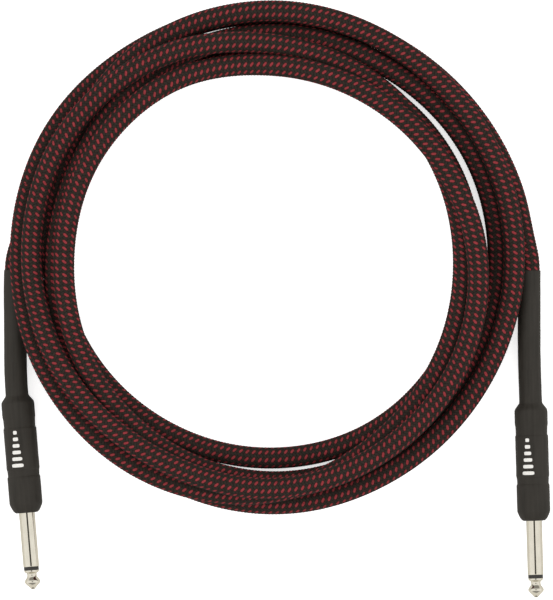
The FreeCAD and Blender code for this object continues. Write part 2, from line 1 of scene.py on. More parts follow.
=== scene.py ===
"""Looks of a coiled instrument cable with a braided jacket and a straight 6.35 mm plug on each end.

Shapes are worked out in millimetres and turned into metres when a mesh is made.  A place along the
cable is given by its distance along the centreline, and a plug's parts by their distance from the
shoulder, where its grip leaves the cable.
"""
import json
import math
import bmesh
import bpy
import numpy as np
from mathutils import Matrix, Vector


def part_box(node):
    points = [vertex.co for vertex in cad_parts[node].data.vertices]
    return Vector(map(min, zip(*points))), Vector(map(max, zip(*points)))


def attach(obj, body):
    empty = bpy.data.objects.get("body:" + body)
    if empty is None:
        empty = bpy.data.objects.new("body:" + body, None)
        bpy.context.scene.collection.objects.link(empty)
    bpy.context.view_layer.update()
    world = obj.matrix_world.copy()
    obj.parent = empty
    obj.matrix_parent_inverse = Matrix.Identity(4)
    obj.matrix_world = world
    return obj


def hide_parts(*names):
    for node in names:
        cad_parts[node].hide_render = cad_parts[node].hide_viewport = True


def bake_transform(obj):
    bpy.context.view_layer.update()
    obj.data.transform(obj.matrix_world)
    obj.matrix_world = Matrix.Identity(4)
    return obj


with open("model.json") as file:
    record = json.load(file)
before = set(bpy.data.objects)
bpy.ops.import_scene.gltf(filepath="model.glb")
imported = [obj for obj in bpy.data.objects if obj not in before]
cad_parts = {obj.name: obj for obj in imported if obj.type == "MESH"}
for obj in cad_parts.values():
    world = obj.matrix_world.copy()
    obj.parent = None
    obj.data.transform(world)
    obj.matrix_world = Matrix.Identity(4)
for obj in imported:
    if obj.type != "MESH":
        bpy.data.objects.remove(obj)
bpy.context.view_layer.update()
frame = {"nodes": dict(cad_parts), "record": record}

MM = 0.001
TURN = 2 * math.pi
SIDES = ("left", "right")
UP = np.array([0.0, 0.0, 1.0])

# ------------------------------------------------------------------ sizes, in millimetres

# The braid. Two sets of yarns cross on a lattice of rings of points, half a yarn's width apart.
JACKET_INSIDE = 3.65
BRAID_TOP = 4.36
YARNS_EACH_WAY = 16
YARN_PITCH = 1.325
RING_STEP = YARN_PITCH / 4
RING_POINTS = 2 * YARNS_EACH_WAY
HALF_POINTS = 2 * RING_POINTS
WEAVE_REPEAT = 8
CROWN = 0.16
YARN_ROUND = 0.2
BRAID_PIECES = 10

# The sleeve, the grip and the plug: radii, and places along the plug from the shoulder.
SLEEVE_BORE = 4.35
SLEEVE_OUTSIDE = 4.6
SLEEVE_LIP = 0.12
FADE_LENGTH = 3.0
GRIP_OUTSIDE = 6.65
GROOVE = 6.425
GROOVE_FOOT = 6.33
GRIP_BORE = 6.05
SHOULDER_TOP = 3.4
CHAMFER_START = 43.6
GRIP_FRONT = 47.2
COLLAR_REAR = 38.0
COLLAR_FRONT = 45.1
COLLAR_NOSE = 46.5
BARREL = 3.175
BARREL_BORE = 1.75
BARREL_REAR = 36.5
BARREL_END = 69.0
RING_OUTSIDE = 3.0
RING_BORE = 1.15
RING_END = 70.35
ROD = 1.1
ROD_REAR = 33.7
FLARE = 3.15
NECK = 2.0
TIP_END = 78.15
CABLE_ENTRY = -1.0

# How finely the meshes follow their outlines, and what counts as one point or as a real edge.
SKIN_STEP = 0.6
LAYER_STEP = 0.8
METAL_STEP = 0.35
SAME_POINT = 1e-4
SHARP_EDGE = 40

LAYERS = {
    # name: (outer radius, inner radius, material)
    "woven_jacket": (4.3, 3.65, "woven_jacket"),
    "pvc_jacket": (3.6, 2.55, "pvc"),
    "copper_shield": (2.5, 2.0, "copper"),
    "conductive_film": (1.95, 1.65, "film"),
    "core_insulation": (1.6, 0.65, "insulation"),
    "centre_conductor": (0.6, 0.0, "copper"),
}


# ------------------------------------------------------------------ materials


def new_node(tree, kind, **settings):
    node = tree.nodes.new(kind)
    for name, value in settings.items():
        setattr(node, name, value)
    return node


def coordinates(tree, source, stretch):
    """Texture coordinates in grains per millimetre, from a UV layer in millimetres or the object itself."""
    if source == "object":
        socket = new_node(tree, "ShaderNodeTexCoord").outputs["Object"]
        stretch = [s / MM for s in stretch]
    else:
        socket = new_node(tree, "ShaderNodeUVMap", uv_map=source).outputs["UV"]
    mapping = new_node(tree, "ShaderNodeMapping")
    mapping.inputs["Scale"].default_value = stretch
    tree.links.new(socket, mapping.inputs["Vector"])
    return mapping.outputs["Vector"]


def noise(tree, source, stretch, detail=2.0):
    """Noise spread evenly from about 0 to 1."""
    texture = new_node(tree, "ShaderNodeTexNoise")
    texture.inputs["Scale"].default_value = 1.0
    texture.inputs["Detail"].default_value = detail
    tree.links.new(coordinates(tree, source, stretch), texture.inputs["Vector"])
    spread = new_node(tree, "ShaderNodeMapRange")
    spread.inputs["From Min"].default_value = 0.3
    spread.inputs["From Max"].default_value = 0.7
    tree.links.new(texture.outputs["Fac"], spread.inputs["Value"])
    return spread.outputs["Result"]


def between(tree, factor, low, high):
    """A value that runs from low to high with factor."""
    node = new_node(tree, "ShaderNodeMapRange")
    node.inputs["To Min"].default_value = low
    node.inputs["To Max"].default_value = high
    tree.links.new(factor, node.inputs["Value"])
    return node.outputs["Result"]


def smooth_step(tree, value, start, end):
    """From 0 where value is at start or below to 1 where it is at end or above."""
    node = new_node(tree, "ShaderNodeMapRange", interpolation_type="SMOOTHSTEP")
    node.inputs["From Min"].default_value = start
    node.inputs["From Max"].default_value = end
    tree.links.new(value, node.inputs["Value"])
    return node.outputs["Result"]


def colours(tree, factor, first, second):
    """A colour that runs from first to second with factor. Each is a colour or a socket."""
    node = new_node(tree, "ShaderNodeMix", data_type="RGBA")
    tree.links.new(factor, node.inputs["Factor"])
    for name, colour in (("A", first), ("B", second)):
        socket = next(i for i in node.inputs if i.name == name and i.type == "RGBA")
        if isinstance(colour, tuple):
            socket.default_value = (*colour, 1)
        else:
            tree.links.new(colour, socket)
    return next(o for o in node.outputs if o.type == "RGBA")


def bump(tree, height, depth, below=None):
    """A bump of the given depth in millimetres, over another one if there is one."""
    node = new_node(tree, "ShaderNodeBump")
    node.inputs["Distance"].default_value = depth * MM
    tree.links.new(height, node.inputs["Height"])
    if below is not None:
        tree.links.new(below, node.inputs["Normal"])
    return node.outputs["Normal"]


def new_material(name, **values):
    """A Principled material. Underscores in the names of values stand for spaces."""
    material = bpy.data.materials.new(name)
    material.use_nodes = True
    tree = material.node_tree
    shader = tree.nodes["Principled BSDF"]
    for key, value in values.items():
        shader.inputs[key.replace("_", " ")].default_value = value
    return material, tree, shader


def float_rim_shade(tree):
    """From 0 on the middle of each float of the braid to 1 where its yarn dives between the others; this sets
    where the yarn's colour fades to painted shade.
    """
    place = new_node(tree, "ShaderNodeUVMap", uv_map="float").outputs["UV"]
    length = new_node(tree, "ShaderNodeVectorMath", operation="LENGTH")
    tree.links.new(place, length.inputs[0])
    return smooth_step(tree, length.outputs["Value"], 0.78, 1.22)


def yarn(name, dark, light, painted_shade):
    """Twisted filaments that run along each yarn of the braid, with painted shade where the yarn dives
    between the others.
    """
    material, tree, shader = new_material(name, Roughness=0.85)
    shader.inputs["Specular IOR Level"].default_value = 0.12
    filaments = noise(tree, "weave", (0.9, 8.0, 1.0), detail=1.0)
    patches = noise(tree, "object", (0.35, 0.35, 0.35))
    strands = colours(tree, filaments, dark, light)
    worn = colours(tree, between(tree, patches, 0.35, 0.0), strands, tuple(0.72 * c for c in dark))
    # The rim of each float fades to a near-black colour: painted shade between the yarns.
    tree.links.new(colours(tree, float_rim_shade(tree), worn, painted_shade), shader.inputs["Base Color"])
    tree.links.new(bump(tree, filaments, 0.05), shader.inputs["Normal"])
    return material


def shrink_tube(name):
    """Matt heat-shrink tube: faint lengthwise drawing marks under a fine grain."""
    material, tree, shader = new_material(name)
    shader.inputs["Specular IOR Level"].default_value = 0.22
    marks = noise(tree, "surface", (0.7, 0.04, 1.0))
    grain = noise(tree, "surface", (6.0, 6.0, 1.0), detail=3.0)
    scuffs = noise(tree, "surface", (0.25, 0.12, 1.0), detail=4.0)
    tone = colours(tree, marks, (0.0195, 0.0172, 0.0138), (0.031, 0.0277, 0.0230))
    dusty = colours(tree, between(tree, scuffs, 0.0, 0.6), tone, (0.036, 0.032, 0.0265))
    tree.links.new(dusty, shader.inputs["Base Color"])
    tree.links.new(between(tree, scuffs, 0.5, 0.62), shader.inputs["Roughness"])
    under = bump(tree, marks, 0.03)
    tree.links.new(bump(tree, grain, 0.012, under), shader.inputs["Normal"])
    return material


def turned_metal(name, dull, bright, rough):
    """Plated metal with the fine rings a lathe leaves."""
    material, tree, shader = new_material(name, Metallic=1.0)
    rings = noise(tree, "surface", (0.05, 9.0, 1.0), detail=3.0)
    handling = noise(tree, "surface", (0.3, 0.2, 1.0), detail=4.0)
    tree.links.new(colours(tree, handling, bright, dull), shader.inputs["Base Color"])
    tree.links.new(between(tree, handling, rough, rough + 0.07), shader.inputs["Roughness"])
    tree.links.new(bump(tree, rings, 0.0012), shader.inputs["Normal"])
    return material


def moulded(name, dark, light, rough, source="object", metallic=0.0, grain=2.0, depth=0.01):
    """A plain moulded, drawn or cast surface: mottled colour, uneven gloss and a fine grain."""
    material, tree, shader = new_material(name, Metallic=metallic)
    mottle = noise(tree, source, (grain / 4,) * 3, detail=3.0)
    pores = noise(tree, source, (grain,) * 3, detail=3.0)
    tree.links.new(colours(tree, mottle, dark, light), shader.inputs["Base Color"])
    tree.links.new(between(tree, mottle, rough, rough + 0.1), shader.inputs["Roughness"])
    tree.links.new(bump(tree, pores, depth), shader.inputs["Normal"])
    return material


# Near-black colours painted on the rims of the floats as shade where the yarns dive between each other.
BLACK_PAINTED_SHADE = (0.009, 0.007, 0.006)
RED_PAINTED_SHADE = (0.050, 0.010, 0.010)
INSULATOR_TONES = ((0.016, 0.014, 0.013), (0.028, 0.026, 0.023))
PRINT_TONES = ((0.74, 0.73, 0.70), (0.84, 0.83, 0.80))
SLEEVE_INSIDE_TONES = ((0.024, 0.022, 0.019), (0.034, 0.031, 0.028))
NICKEL_INSIDE_TONES = ((0.74, 0.70, 0.62), (0.80, 0.765, 0.69))


def make_materials():
    """One material for each slot of the record, and those that only the visible pieces use."""
    return {
        "woven_jacket": moulded("hidden_braid", (0.016, 0.015, 0.013), (0.030, 0.028, 0.024), 0.75),
        "yarn_black": yarn("yarn_black", (0.020, 0.0155, 0.0125), (0.043, 0.033, 0.027), BLACK_PAINTED_SHADE),
        "yarn_red": yarn("yarn_red", (0.24, 0.024, 0.030), (0.34, 0.055, 0.062), RED_PAINTED_SHADE),
        "sleeve": shrink_tube("shrink_tube"),
        "nickel": turned_metal("nickel", (0.79, 0.75, 0.64), (0.87, 0.83, 0.72), 0.05),
        "insulator": moulded("insulator", *INSULATOR_TONES, 0.4, "surface"),
        "print": moulded("white_print", *PRINT_TONES, 0.5, "surface", grain=4.0, depth=0.004),
        "pvc": moulded("pvc", (0.012, 0.012, 0.012), (0.020, 0.020, 0.020), 0.42),
        "copper": moulded("copper", (0.80, 0.44, 0.30), (0.93, 0.60, 0.47), 0.28, metallic=1.0, grain=3.0),
        "film": moulded("conductive_film", (0.020, 0.020, 0.022), (0.032, 0.032, 0.034), 0.55),
        "insulation": moulded("core_insulation", (0.66, 0.64, 0.56), (0.78, 0.76, 0.69), 0.35),
        "fibre": moulded("vulcanised_fibre", (0.20, 0.050, 0.026), (0.30, 0.085, 0.045), 0.6, grain=3.0),
        "steel": moulded("tinned_steel", (0.50, 0.50, 0.49), (0.64, 0.64, 0.63), 0.3, metallic=1.0),
        "solder": moulded("solder", (0.52, 0.52, 0.53), (0.66, 0.66, 0.68), 0.22, metallic=1.0, grain=1.5),
    }


# ------------------------------------------------------------------ meshes


def build(name, points, polygons, layers, materials, chosen=None):
    """A smooth mesh object from numpy arrays.

    points is (n, 3) in millimetres, polygons is a list of index arrays with one row per face, layers
    maps a UV layer's name to its corners in the same order, and chosen is each face's material index.
    """
    mesh = bpy.data.meshes.new(name)
    corners = np.concatenate([p.ravel() for p in polygons]).astype(np.int32)
    sizes = np.concatenate([np.full(len(p), p.shape[1]) for p in polygons])
    starts = np.concatenate([[0], np.cumsum(sizes)[:-1]]).astype(np.int32)
    mesh.vertices.add(len(points))
    mesh.vertices.foreach_set("co", (points * MM).astype(np.float32).ravel())
    mesh.loops.add(len(corners))
    mesh.loops.foreach_set("vertex_index", corners)
    mesh.polygons.add(len(starts))
    mesh.polygons.foreach_set("loop_start", starts)
    for material in materials:
        mesh.materials.append(material)
    if chosen is not None:
        mesh.polygons.foreach_set("material_index", chosen.astype(np.int32))
    mesh.update(calc_edges=True)
    for layer, values in layers.items():
        uv = mesh.uv_layers.new(name=layer)
        uv.data.foreach_set("uv", values.astype(np.float32).ravel())
    mesh.shade_smooth()
    obj = bpy.data.objects.new(name, mesh)
    bpy.context.scene.collection.objects.link(obj)
    return obj


def rounded(corners, steps=4):
    """An outline with each (along, radius, rounding) corner turned into a short curve."""
    most_of_a_side = 0.45
    outline = []
    count = len(corners)
    for i in range(count):
        before = np.array(corners[i - 1][:2])
        here = np.array(corners[i][:2])
        after = np.array(corners[(i + 1) % count][:2])
        reach = corners[i][2]
        if reach == 0:
            outline.append(here)
            continue
        start = here + (before - here) * min(most_of_a_side, reach / np.linalg.norm(before - here))
        end = here + (after - here) * min(most_of_a_side, reach / np.linalg.norm(after - here))
        for t in np.linspace(0, 1, steps + 1):
            outline.append((1 - t) ** 2 * start + 2 * t * (1 - t) * here + t**2 * end)
    return outline


def spaced(outline, step, closed=True):
    """The outline with more points on its long stretches, none further apart than step."""
    points = []
    last = len(outline) if closed else len(outline) - 1
    for i in range(last):
        here = np.array(outline[i])
        after = np.array(outline[(i + 1) % len(outline)])
        count = max(1, math.ceil(np.linalg.norm(after - here) / step))
        points += [here + (after - here) * k / count for k in range(count)]
    if not closed:
        points.append(np.array(outline[-1]))
    return np.array(points)


def no_wobble(along, angle):
    return 0 * along * angle


def around_path(path, along, angles, radii):
    """Points round the path: one row for each distance along it, at that row's angles and radii."""
    centres, sides, ups = path.frames(along)
    rim = np.cos(angles)[:, :, None] * sides[:, None, :] + np.sin(angles)[:, :, None] * ups[:, None, :]
    return centres[:, None, :] + radii[:, :, None] * rim


def sweep(name, path, outline, material, segments=48, closed=True, wobble=no_wobble):
    """An outline of (along, radius) pairs, carried round the path.

    A closed one makes a ring or a tube. An open one starts and ends on the axis.
    """
    along = outline[:, 0]
    angles = TURN * np.arange(segments) / segments
    radii = outline[:, 1, None] + wobble(along[:, None], angles[None, :])
    points = around_path(path, along, np.broadcast_to(angles, (len(along), segments)), radii)
    rows = len(outline)
    row = np.arange(rows if closed else rows - 1)
    column = np.arange(segments)
    r, c = (x.ravel() for x in np.meshgrid(row, column, indexing="ij"))
    r2, c2 = (r + 1) % rows, (c + 1) % segments
    faces = np.stack([r * segments + c, r2 * segments + c, r2 * segments + c2, r * segments + c2], axis=1)
    steps = np.linalg.norm(np.diff(outline, axis=0, append=outline[:1]), axis=1)
    run = np.concatenate([[0], np.cumsum(steps)])
    girth = TURN * outline[:, 1].max()
    us = np.stack([c, c, c + 1, c + 1], axis=1) / segments * girth
    vs = np.stack([run[r], run[r + 1], run[r + 1], run[r]], axis=1)
    surface = np.stack([us, vs], axis=2)
    obj = build(name, points.reshape(-1, 3), [faces], {"surface": surface}, [material])
    weld(obj)
    return obj


def weld(obj):
    """Joins the points that meet on the axis, turns every face outward and keeps real edges sharp."""
    mesh = bmesh.new()
    mesh.from_mesh(obj.data)
    bmesh.ops.remove_doubles(mesh, verts=mesh.verts, dist=SAME_POINT * MM)
    bmesh.ops.dissolve_degenerate(mesh, edges=mesh.edges, dist=SAME_POINT / 10 * MM)
    bmesh.ops.recalc_face_normals(mesh, faces=mesh.faces)
    mesh.to_mesh(obj.data)
    mesh.free()
    obj.data.shade_smooth()
    obj.data.set_sharp_from_angle(angle=math.radians(SHARP_EDGE))


# ------------------------------------------------------------------ centrelines


class Path:
    """A smooth line through points, with a level sideways direction and one that points up."""

    def __init__(self, points, zero=0.0):
        self.points = points
        steps = np.linalg.norm(np.diff(points, axis=0), axis=1)
        self.at = np.concatenate([[0], np.cumsum(steps)]) - zero
        self.slopes = np.gradient(points, self.at, axis=0)
        self.length = self.at[-1] - self.at[0]

    def frames(self, along):
        """Centres, sideways and up directions at distances along the path."""
        i = np.clip(np.searchsorted(self.at, along, side="right") - 1, 0, len(self.at) - 2)
        step = (self.at[i + 1] - self.at[i])[:, None]
        f = (along - self.at[i])[:, None] / step
        p, q = self.points[i], self.points[i + 1]
        m, n = self.slopes[i] * step, self.slopes[i + 1] * step
        bend = 3 * (q - p) - 2 * m - n
        jerk = 2 * (p - q) + m + n
        centres = p + f * (m + f * (bend + f * jerk))
        tangents = m + f * (2 * bend + 3 * f * jerk)
        tangents /= np.linalg.norm(tangents, axis=1)[:, None]
        sides = np.cross(tangents, UP)
        sides /= np.linalg.norm(sides, axis=1)[:, None]
        return centres, sides, np.cross(sides, tangents)

    def place(self, along):
        return self.frames(np.array([along]))[0][0]


def ring_centres(node):
    """Centres of the rings of points along a CAD rod, in order from one end of the rod to the other."""
    mesh = frame["nodes"][node].data
    points = np.empty(len(mesh.vertices) * 3, np.float32)
    mesh.vertices.foreach_get("co", points)
    points, merged = np.unique(np.round(points.reshape(-1, 3) / MM, 3), axis=0, return_inverse=True)
    edges = np.empty(len(mesh.edges) * 2, np.int32)
    mesh.edges.foreach_get("vertices", edges)
    edges = merged.ravel()[edges.reshape(-1, 2)]
    longest_in_ring = 0.2 * LAYERS["centre_conductor"][0]
    beside = np.linalg.norm(points[edges[:, 0]] - points[edges[:, 1]], axis=1) < longest_in_ring
    ring = connected(len(points), edges[beside])
    names, ring = np.unique(ring, return_inverse=True)
    counts = np.bincount(ring)
    centres = np.stack([np.bincount(ring, points[:, k]) / counts for k in range(3)], axis=1)
    return centres[in_order(len(names), ring[edges[~beside]])]


def connected(count, edges):
    """The lowest point number that each point can reach over the edges."""
    label = np.arange(count)
    while True:
        lowest = np.minimum(label[edges[:, 0]], label[edges[:, 1]])
        new = label.copy()
        np.minimum.at(new, edges[:, 0], lowest)
        np.minimum.at(new, edges[:, 1], lowest)
        if np.array_equal(new, label):
            return label
        label = new


def in_order(count, links):
    """The rings one after another, from one end of the rod to the other."""
    beside = [set() for _ in range(count)]
    for a, b in links:
        if a != b:
            beside[a].add(b)
            beside[b].add(a)
    order = [next(i for i in range(count) if len(beside[i]) == 1)]
    while len(order) < count:
        following = [i for i in beside[order[-1]] if len(order) == 1 or i != order[-2]]
        order.append(following[0])
    return order


def coil_path():
    """The cable's centreline from the left bend, clockwise round the coil, to the right bend."""
    centres = ring_centres("centre_conductor")
    return Path(centres if centres[0][0] < centres[-1][0] else centres[::-1])


def plug_axis(side):
    mount = next(m for m in frame["record"]["mounts"] if m["name"] == side + "_plug_pin")
    return np.array(mount["axis"], float)


def side_path(side, coil):
    """From the sleeve's rear end through the bend and along the plug, with zero at the shoulder."""
    tail = coil.points if side == "left" else coil.points[::-1]
    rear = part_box(side + "_sleeve_tail")[1].y / MM
    beyond = 2.0
    straight = tail[: np.argmax(tail[:, 1] > rear + beyond)][::-1]
    bend = ring_centres(side + "_bend_centre_conductor")
    if bend[0][1] < bend[-1][1]:
        bend = bend[::-1]
    past_tip = 4.0
    steps = np.arange(1.0, TIP_END - CABLE_ENTRY + past_tip)
    plug = bend[-1] + steps[:, None] * plug_axis(side)
    line = np.concatenate([straight[:-1], bend, plug])
    before_plug = line[: len(line) - len(plug)]
    to_entry = np.linalg.norm(np.diff(before_plug, axis=0), axis=1).sum()
    path = Path(line, zero=to_entry - CABLE_ENTRY)
    path.rear = path.at[0] + line[0][1] - rear
    path.bend_start = CABLE_ENTRY - np.linalg.norm(np.diff(bend, axis=0), axis=1).sum()
    path.bend_middle = (path.bend_start + CABLE_ENTRY) / 2
    return path


# ------------------------------------------------------------------ the braid


def crown_heights(a, b):
    """How far the braid stands up at lattice points: the higher of the yarns of both directions there."""
    height = np.full(a.shape, -1.0)
    for across, along, shift in ((a, b, 0), (b, a, -2)):
        for neighbour in (-1, 0):
            on_edge = across % 2 == 0
            number = np.where(on_edge, across // 2 + neighbour, (across - 1) // 2)
            rise = CROWN * np.cos(TURN * (along - 2 * number - shift) / WEAVE_REPEAT)
            height = np.maximum(height, rise - YARN_ROUND * on_edge)
    return height


def twist(along):
    """Slow turning of the braid about the cable, in radians, as a coiled cable takes it up."""
    start, steady, swing, wave = 0.5, 0.004, 0.35, 97.0
    return start + steady * along + swing * np.sin(along / wave)


def braid_rings(path, first, last):
    """Points of the rings numbered first to last, every other ring half a step round."""
    ring = np.arange(first, last + 1)[:, None]
    around = 2 * np.arange(RING_POINTS)[None, :] + ring % 2
    a = (ring + around) // 2
    b = (ring - around) // 2
    radius = BRAID_TOP - CROWN + crown_heights(a, b)
    along = ring[:, 0] * RING_STEP
    angle = twist(along)[:, None] - TURN * around / HALF_POINTS
    return around_path(path, along, angle, radius)


def inner_rings(path, first, last, every=8):
    """Points of the jacket's smooth bore, on every eighth ring and the last."""
    ring = np.unique(np.append(np.arange(first, last, every), last))
    along = ring * RING_STEP
    around = 2 * np.arange(RING_POINTS)
    angle = twist(along)[:, None] - TURN * around[None, :] / HALF_POINTS
    return around_path(path, along, angle, np.full(angle.shape, JACKET_INSIDE))


def diamonds(first, last):
    """Faces between the rings, each with its corners' lattice numbers."""
    ring = np.arange(first, last - 1)[:, None]
    column = np.arange(RING_POINTS)[None, :]
    odd = ring % 2
    row = ring - first
    low = row * RING_POINTS + column
    ahead = (row + 1) * RING_POINTS + (column + odd) % RING_POINTS
    behind = (row + 1) * RING_POINTS + (column + odd - 1) % RING_POINTS
    high = (row + 2) * RING_POINTS + column
    faces = np.stack([low, ahead, high, behind], axis=2).reshape(-1, 4)
    around = 2 * column + odd
    a = ((ring + around) // 2 + 0 * column).ravel()
    b = ((ring - around) // 2 + 0 * column).ravel()
    return faces, a, b


def end_triangles(first, last):
    """Triangles that fill the zigzag at both ends of a stretch of diamonds."""
    column = np.arange(RING_POINTS)
    following = (column + 1) % RING_POINTS
    second = RING_POINTS + (column + first % 2) % RING_POINTS
    start = np.stack([column, following, second], axis=1)
    top = (last - first) * RING_POINTS
    under_top = top - RING_POINTS + (column + last % 2) % RING_POINTS
    end = np.stack([top + following, top + column, under_top], axis=1)
    return start, end


def bore_and_caps(outer_count, inner_count):
    """Faces of the smooth bore and of the flat rings that close both ends of a length of the braid."""
    column = np.arange(RING_POINTS)
    following = (column + 1) % RING_POINTS
    low = outer_count + np.arange(inner_count // RING_POINTS - 1)[:, None] * RING_POINTS
    high = low + RING_POINTS
    bore = np.stack([low + column, high + column, high + following, low + following], axis=2)
    near = np.stack([following, column, outer_count + column, outer_count + following], axis=1)
    top = outer_count - RING_POINTS
    inner_top = outer_count + inner_count - RING_POINTS
    far = np.stack([top + column, top + following, inner_top + following, inner_top + column], axis=1)
    return np.concatenate([bore.reshape(-1, 4), near, far])


def make_braid_piece(number, path, first, last, materials):
    """One length of the braid: woven outside, smooth bore and closed ends."""
    outer = braid_rings(path, first, last).reshape(-1, 3)
    inner = inner_rings(path, first, last).reshape(-1, 3)
    woven, a, b = diamonds(first, last)
    plain = bore_and_caps(len(outer), len(inner))
    triangles = np.concatenate(end_triangles(first, last))
    yarn_a, yarn_b = a // 2, b // 2
    a_over = (yarn_a - yarn_b) % 4 < 2
    red = a_over & (yarn_a % 2 == 0)
    chosen = np.concatenate([red, np.zeros(len(plain) + len(triangles), bool)])
    weave, floats, bake = woven_coordinates(first, last, a, b, a_over)
    unseen = plain.size + triangles.size
    layers = {
        "weave": fill_corners(weave, unseen),
        "float": fill_corners(floats, unseen),
        "OFBake": np.concatenate([bake, spare_corners(unseen)]),
    }
    name = "woven_jacket_%02d" % number
    pair = [materials["yarn_black"], materials["yarn_red"]]
    faces = [np.concatenate([woven, plain]), triangles]
    piece = build(name, np.concatenate([outer, inner]), faces, layers, pair, chosen)
    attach(piece, "coil")
    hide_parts("woven_jacket")
    return piece


def fill_corners(layer, count):
    return np.concatenate([layer, np.zeros((count, 2))])


def spare_corners(count):
    """A thin strip at the map's right edge for the faces that are never seen."""
    left, width, bottom, height = 0.992, 0.006, 0.1, 0.8
    spot = np.arange(count) % 4
    return np.stack([left + width * (spot > 1), bottom + height * ((spot == 1) | (spot == 2))], axis=1)


def woven_coordinates(first, last, a, b, a_over):
    """Each corner's place along and across its yarn and on its float, and its place on the baked map."""
    corner_a = a[:, None] + np.array([0, 1, 1, 0])
    corner_b = b[:, None] + np.array([0, 0, 1, 1])
    girth_step = TURN * BRAID_TOP / HALF_POINTS
    length = math.hypot(girth_step, RING_STEP)
    width = 2 * girth_step * RING_STEP / length
    apart = 40
    over = a_over[:, None]
    along = np.where(over, corner_b, corner_a) * length
    across = np.where(over, corner_a, corner_b + apart) * width
    weave = np.stack([along, across], axis=2).reshape(-1, 2)
    yarn_a, yarn_b = 2 * (a[:, None] // 2), 2 * (b[:, None] // 2)
    half = WEAVE_REPEAT // 2
    on_a = ((corner_b - yarn_a + half) % WEAVE_REPEAT - half) / 2
    on_b = ((corner_a - yarn_b + 2 + half) % WEAVE_REPEAT - half) / 2
    beside = np.where(over, corner_a - yarn_a, corner_b - yarn_b) - 1
    floats = np.stack([np.where(over, on_a, on_b), beside], axis=2).reshape(-1, 2)
    return weave, floats, baked_places(first, last, a, b)


def baked_places(first, last, a, b):
    """The corners' places on the baked map, where a length of the braid lies unrolled in strips."""
    strips = 4
    margin = 3
    used_width = 0.985
    per_strip = math.ceil((last - first + 1) / strips)
    ring = (a + b) - first
    strip = ring // per_strip
    around = (a - b) % HALF_POINTS
    turned = around[:, None] + np.array([0, 1, 0, -1])
    climbed = (ring - strip * per_strip)[:, None] + np.array([0, 1, 2, 1])
    x = (strip[:, None] + (turned + margin) / (HALF_POINTS + 2 * margin)) / strips * used_width
    y = (climbed + margin - 1) / (per_strip + 2 * margin)
    return np.stack([x, y], axis=2).reshape(-1, 2)


def make_braid(path, materials):
    total = int(path.length / RING_STEP) - 1
    edges = np.linspace(0, total, BRAID_PIECES + 1).astype(int)
    for number in range(BRAID_PIECES):
        make_braid_piece(number + 1, path, edges[number], edges[number + 1], materials)


# ------------------------------------------------------------------ sleeves and grips


def shrink_wobble(along, angle):
    """The slight unevenness of a tube that was shrunk on by hand."""
    broad = 0.022 * np.sin(0.31 * along + 0.8) * np.cos(2 * angle + 0.13 * along)
    fine = 0.010 * np.sin(1.15 * along + 3 * angle) + 0.008 * np.sin(0.67 * along - 2 * angle + 1.0)
    return broad + fine


def fading_wobble(start, end):
    """Wobble that dies out at both ends, so that neighbouring pieces still meet."""

    def wobble(along, angle):
        fade = np.clip(np.minimum(along - start, end - along) / FADE_LENGTH, 0, 1)
        return shrink_wobble(along, angle) * fade

    return wobble


def tube_outline(start, end, outer, inner, rounding=0.0):
    corners = ((start, outer, rounding), (end, outer, 0), (end, inner, 0), (start, inner, rounding / 2))
    return rounded(corners)


def make_sleeve(side, path, materials):
    """The rear half of the strain relief: over the lead and the first half of the bend."""
    corners = tube_outline(path.rear, path.bend_middle, SLEEVE_OUTSIDE, SLEEVE_BORE, SLEEVE_LIP)
    outline = spaced(corners, SKIN_STEP)
    wobble = fading_wobble(path.rear, path.bend_middle)
    piece = sweep(side + "_sleeve_rear", path, outline, materials["sleeve"], wobble=wobble)
    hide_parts(side + "_sleeve_tail", side + "_bend_shrink_sleeve")
    bend_rear(piece, side, path)


def groove(start, end, slope, rear_rounding, foot_rounding):
    """A shallow groove round the grip: it slopes down from the rear and ends in a small step in front."""
    step = 0.6
    return (
        (start, GRIP_OUTSIDE, rear_rounding),
        (start + slope, GROOVE, foot_rounding),
        (end - step, GROOVE_FOOT, 0.25),
        (end, GRIP_OUTSIDE, 0.2),
    )


def make_grip(side, path, materials):
    """The front half of the strain relief and the cover of the grip, in one skin."""
    mouth = BARREL + 0.1
    over_collar = 0.1
    corners = (
        (path.bend_middle, SLEEVE_OUTSIDE, 0),
        (-0.1, SLEEVE_OUTSIDE, 0.6),
        (SHOULDER_TOP - 1.05, GRIP_OUTSIDE - 0.15, 0.5),
        (SHOULDER_TOP, GRIP_OUTSIDE, 0.4),
        *groove(8.4, 13.2, 1.0, 0.5, 0.5),
        *groove(29.4, 32.9, 0.6, 0.4, 0.35),
        (CHAMFER_START, GRIP_OUTSIDE, 0.7),
        (GRIP_FRONT - 0.9, 5.4, 0.7),
        (GRIP_FRONT, 4.4, 0.3),
        (GRIP_FRONT, mouth, 0.08),
        (COLLAR_NOSE + 0.2, mouth, 0),
        (COLLAR_NOSE + 0.2, 4.1, 0),
        (COLLAR_FRONT + over_collar, 5.35, 0),
        (44.0, GRIP_BORE, 0),
        (2.9, GRIP_BORE, 0),
        (0.6, SLEEVE_BORE, 0),
        (path.bend_middle, SLEEVE_BORE, 0),
    )
    outline = spaced(rounded(corners), SKIN_STEP)
    wobble = fading_wobble(path.bend_middle, CHAMFER_START - 0.6)
    piece = sweep(side + "_grip", path, outline, materials["sleeve"], segments=64, wobble=wobble)
    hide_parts(side + "_bend_shrink_sleeve", side + "_grip_cover")
    bend_front(piece, side, path)


def bend_rear(piece, side, path):
    start = path.place(path.bend_start) * MM
    end = path.place(path.bend_middle) * MM
    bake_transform(piece)


def bend_front(piece, side, path):
    start = path.place(path.bend_middle) * MM
    end = path.place(CABLE_ENTRY) * MM
    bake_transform(piece)


